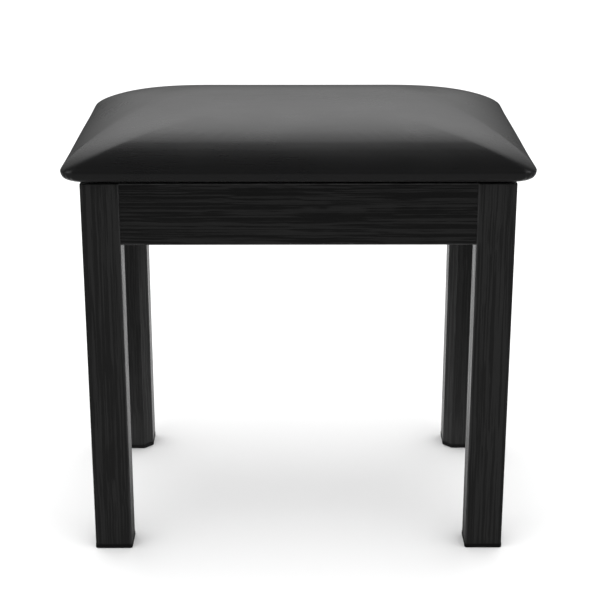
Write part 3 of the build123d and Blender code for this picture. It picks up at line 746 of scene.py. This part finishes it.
def make_seat(material):
    """The vinyl-covered cushion."""
    seat = seat_shell()
    inflate(seat)
    fit_to_seat(seat)
    tuck_corners(seat)
    finish_piece(seat, material)
    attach(seat, "lid")
    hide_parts("seat_cover", "foam_pad")


# Dust cloth


def dust_cloth_drop(x, y):
    """How far the cloth hangs below its staples: a slight sag, and small puckers along its edges."""
    u, v = 2 * x / CLOTH_WIDTH, 2 * y / CLOTH_DEPTH
    sag = CLOTH_SAG * (1 - u * u) * (1 - v * v)
    near_y = max(0, abs(v) - PUCKER_FROM_Y) / (1 - PUCKER_FROM_Y)
    near_x = max(0, abs(u) - PUCKER_FROM_X) / (1 - PUCKER_FROM_X)
    ripple_x = math.cos(2 * math.pi * x / STAPLE_SPACING) * near_y
    ripple_y = math.cos(2 * math.pi * y / STAPLE_SPACING) * near_x
    return sag + PUCKER * (2 + ripple_x + ripple_y) / 4


def dust_cloth_point(x, y, upper):
    """A point of the cloth's upper or lower face; the lower one is thicker along the hem."""
    inside = min(x - CLOTH_LOW.x, CLOTH_HIGH.x - x, y - CLOTH_LOW.y, CLOTH_HIGH.y - y)
    hem = HEM_STEP * (1 - min(1, max(0, inside - HEM) / CLOTH_CELL))
    thickness = 0 if upper else CLOTH_SKIN + hem
    return (x, y, CLOTH_HIGH.z - dust_cloth_drop(x, y) - thickness)


def make_dust_cloth(material):
    """The cloth that closes the seat's underside, with its edge turned in to a double thickness."""
    columns = round(CLOTH_WIDTH / CLOTH_CELL)
    rows = round(CLOTH_DEPTH / CLOTH_CELL)
    across = columns + 1
    layer = (rows + 1) * across
    points, faces = [], []
    for upper in (True, False):
        for j in range(rows + 1):
            y = CLOTH_LOW.y + CLOTH_DEPTH * j / rows
            for i in range(across):
                x = CLOTH_LOW.x + CLOTH_WIDTH * i / columns
                points.append(dust_cloth_point(x, y, upper))
    for j in range(rows):
        for i in range(columns):
            a, b = j * across + i, (j + 1) * across + i
            faces.append((a, a + 1, b + 1, b))
            faces.append((layer + a, layer + b, layer + b + 1, layer + a + 1))
    rim = list(range(columns))
    rim += [columns + j * across for j in range(rows)]
    rim += [layer - 1 - i for i in range(columns)]
    rim += [(rows - j) * across for j in range(rows)]
    for a, b in zip(rim, rim[1:] + rim[:1]):
        faces.append((b, a, layer + a, layer + b))
    cloth = mesh_object("dust_cloth_sheet", points, faces)
    finish_piece(cloth, material)
    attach(cloth, "lid")
    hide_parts("dust_cloth")


# Studio


def make_floor():
    half = FLOOR_HALF
    corners = [(-half, -half, 0), (half, -half, 0), (half, half, 0), (-half, half, 0)]
    floor = mesh_object("floor", corners, [(0, 1, 2, 3)])
    floor.data.materials.append(floor_material())


def gloss_of_dome(tree, parts):
    """What gloss sees: a tall panel behind, narrower towards its top, a wing each side, a dim front."""
    height, sideways = parts["Z"], maths(tree, "ABSOLUTE", parts["X"])
    panel = ramp(tree, height, *PANEL_RISE, PANEL_FOOT_GLOSS, PANEL_GLOSS, shape="LINEAR")
    panel = maths(tree, "MULTIPLY", panel, ramp(tree, height, *HORIZON_RISE, to_low=HORIZON_GLOSS))
    spread = maths(tree, "ADD", sideways, maths(tree, "MULTIPLY", height, PANEL_TAPER))
    narrowed = ramp(tree, spread, *PANEL_SIDE, to_low=1.0, to_high=PANEL_SIDE_GLOSS)
    behind = maths(tree, "MULTIPLY", ramp(tree, parts["Y"], *PANEL_EDGE), narrowed)
    in_front = ramp(tree, parts["Y"], *WING_EDGE)
    wings = maths(tree, "MULTIPLY", in_front, ramp(tree, sideways, *WING_SIDE))
    return mixed(tree, maths(tree, "MAXIMUM", behind, wings), FRONT_GLOSS, panel, kind="FLOAT")


def make_world():
    """An even white dome for light, which gloss sees as panels."""
    world = bpy.data.worlds.new("studio")
    bpy.context.scene.world = world
    world.use_nodes = True
    tree = world.node_tree
    background = tree.nodes["Background"]
    direction = put(tree, "ShaderNodeTexCoord").outputs["Generated"]
    seen = gloss_of_dome(tree, axes_of(tree, direction))
    rays = put(tree, "ShaderNodeLightPath")
    strength = mixed(tree, rays.outputs["Is Glossy Ray"], DOME_STRENGTH, seen, kind="FLOAT")
    feed(tree, background.inputs["Strength"], strength)
    background.inputs["Color"].default_value = grey(1)


def make_lamp():
    """A large soft lamp overhead, out of sight of gloss, that keeps the floor round the bench white."""
    data = bpy.data.lights.new("overhead", "AREA")
    data.size = LAMP_SIZE
    data.energy = LAMP_POWER
    lamp = bpy.data.objects.new("overhead", data)
    lamp.location = LAMP_PLACE
    lamp.visible_glossy = False
    bpy.context.scene.collection.objects.link(lamp)


def make_camera():
    data = bpy.data.cameras.new("camera")
    camera = bpy.data.objects.new("camera", data)
    bpy.context.scene.collection.objects.link(camera)
    data.lens = CAMERA_LENS
    data.sensor_width = CAMERA_SENSOR
    data.shift_y = CAMERA_SHIFT_Y
    data.clip_start = CAMERA_NEAR
    data.clip_end = CAMERA_FAR
    camera.location = CAMERA_PLACE
    camera.rotation_euler = (math.pi / 2 - CAMERA_PITCH, 0, CAMERA_YAW)
    bpy.context.scene.camera = camera


def set_tone():
    view = bpy.context.scene.view_settings
    view.view_transform = "Standard"
    view.look = "None"


paint_frame()
make_seat(black_vinyl("black_vinyl"))
make_dust_cloth(non_woven("dust_cloth"))
make_floor()
make_world()
make_lamp()
make_camera()
set_tone()
